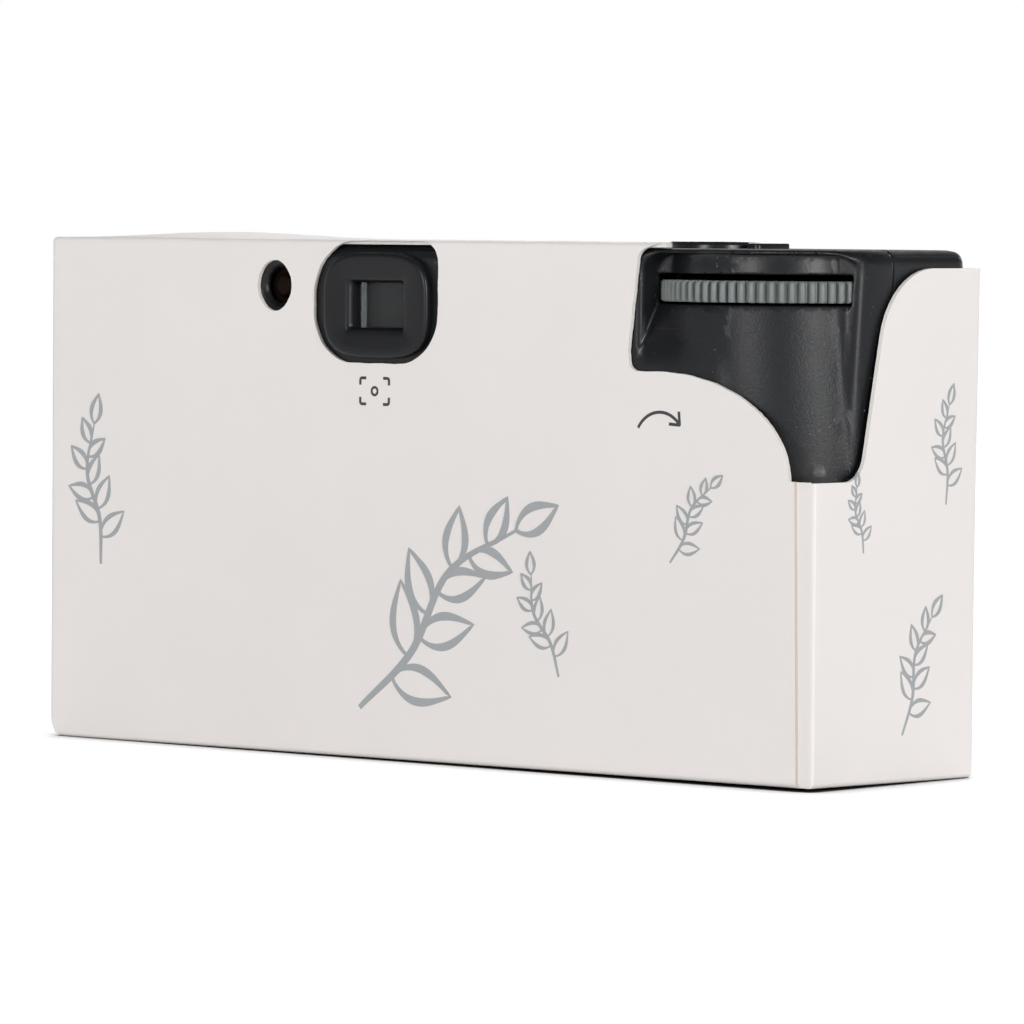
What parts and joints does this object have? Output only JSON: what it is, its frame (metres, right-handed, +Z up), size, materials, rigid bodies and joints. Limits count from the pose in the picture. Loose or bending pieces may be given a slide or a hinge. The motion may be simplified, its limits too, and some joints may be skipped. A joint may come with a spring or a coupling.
{
  "type": "disposable film camera",
  "caption": "Single-use film camera: black plastic body in a white paperboard sleeve, with a thumb wheel, finder, shutter button, lens and flash.",
  "frame": {"origin": "centre of the base face, on which the camera stands", "axes": "+X to the right as seen from the rear, +Y the way the lens looks, +Z up"},
  "size_m": [0.116, 0.0345, 0.0602],
  "materials": {
    "paperboard": "coated, matt",
    "black_plastic": "fine moulded grain",
    "inner_plastic": "smooth moulded",
    "gloss_black": "glossy moulded",
    "clear_plastic": "clear",
    "lens_glass": "clear",
    "dark_metal": "blackened",
    "cartridge_metal": "printed sheet, bare",
    "film": "glossy film base",
    "frosted_plastic": "ribbed, clear",
    "mirror_metal": "bright",
    "board": "laminate",
    "capacitor_wrap": "shrink wrap",
    "coil": "wound wire",
    "cell_wrap": "plain wrap",
    "contact_metal": "plated",
    "lamp_orange": "clear tinted",
    "wheel_grey": "moulded",
    "white_plastic": "moulded"
  },
  "bodies": {
    "camera": {"sleeve": "paperboard", "front_cover": "black_plastic", "rear_cover": "black_plastic", "chassis": "inner_plastic", "eyepiece_frame": "gloss_black", "eyepiece_lens": "clear_plastic", "finder_lens": "clear_plastic", "taking_lens": "lens_glass", "lens_ring": "gloss_black", "aperture_plate": "dark_metal", "cartridge_shell": "cartridge_metal", "cartridge_caps": "inner_plastic", "film_strip": "film", "counter_window": "clear_plastic", "flash_window": "frosted_plastic", "flash_reflector": "mirror_metal", "flash_tube": "lens_glass", "circuit_board": "board", "capacitor": "capacitor_wrap", "transformer": "coil", "battery": "cell_wrap", "battery_contacts": "contact_metal", "ready_lamp": "lamp_orange", "shutter_spring": "contact_metal"},
    "wheel": {"advance_wheel": "wheel_grey", "cartridge_spool": "inner_plastic"},
    "roll": {"film_roll": "film", "takeup_spool": "inner_plastic"},
    "sprocket": {"sprocket": "white_plastic"},
    "counter": {"counter_disc": "white_plastic"},
    "button": {"shutter_button": "gloss_black"},
    "lever": {"release_lever": "dark_metal"},
    "blade": {"shutter_blade": "dark_metal"},
    "pawl": {"ratchet_pawl": "white_plastic"},
    "flash_switch": {"flash_button": "wheel_grey"}
  },
  "joints": [
    {"name": "wheel_turn", "type": "hinge", "parent": "camera", "child": "wheel", "pos_m": [0.0424, -0.0006, 0.0535], "axis": [0, 0, 1], "continuous": true},
    {"name": "roll_turn", "type": "hinge", "parent": "camera", "child": "roll", "pos_m": [-0.031, -0.0018, 0.024], "axis": [0, 0, 1], "continuous": true},
    {"name": "sprocket_turn", "type": "hinge", "parent": "camera", "child": "sprocket", "pos_m": [0.022, -0.0052, 0.0388], "axis": [0, 0, 1], "continuous": true},
    {"name": "counter_turn", "type": "hinge", "parent": "camera", "child": "counter", "pos_m": [0.012, 0.004, 0.056], "axis": [0, 0, 1], "continuous": true},
    {"name": "button_press", "type": "slide", "parent": "camera", "child": "button", "axis": [0, 0, -1], "range_m": [0, 0.0008], "stiffness_N_per_m": 400, "springref_m": -0.0005},
    {"name": "lever_swing", "type": "hinge", "parent": "camera", "child": "lever", "pos_m": [0.0184, 0, 0.047], "axis": [0, 1, 0], "range_deg": [0, 5.7]},
    {"name": "blade_swing", "type": "hinge", "parent": "camera", "child": "blade", "pos_m": [0.007, 0.0112, 0.0263], "axis": [0, 1, 0], "range_deg": [0, 40], "stiffness_Nm_per_rad": 0.0005, "springref_deg": -17.19},
    {"name": "pawl_swing", "type": "hinge", "parent": "camera", "child": "pawl", "pos_m": [0.026, 0.01021, 0.0545], "axis": [0, 0, -1], "range_deg": [0, 8], "stiffness_Nm_per_rad": 0.001, "springref_deg": -11.46},
    {"name": "flash_press", "type": "slide", "parent": "camera", "child": "flash_switch", "axis": [0, -1, 0], "range_m": [0, 0.0008], "stiffness_N_per_m": 300, "springref_m": -0.0005}
  ],
  "couplings": [
    {"joint": "roll_turn", "follows": "wheel_turn", "ratio": 0.7368},
    {"joint": "sprocket_turn", "follows": "wheel_turn", "ratio": 1.157},
    {"joint": "counter_turn", "follows": "wheel_turn", "ratio": -0.0289},
    {"joint": "lever_swing", "follows": "button_press", "rad_per_m": 121.95}
  ]
}
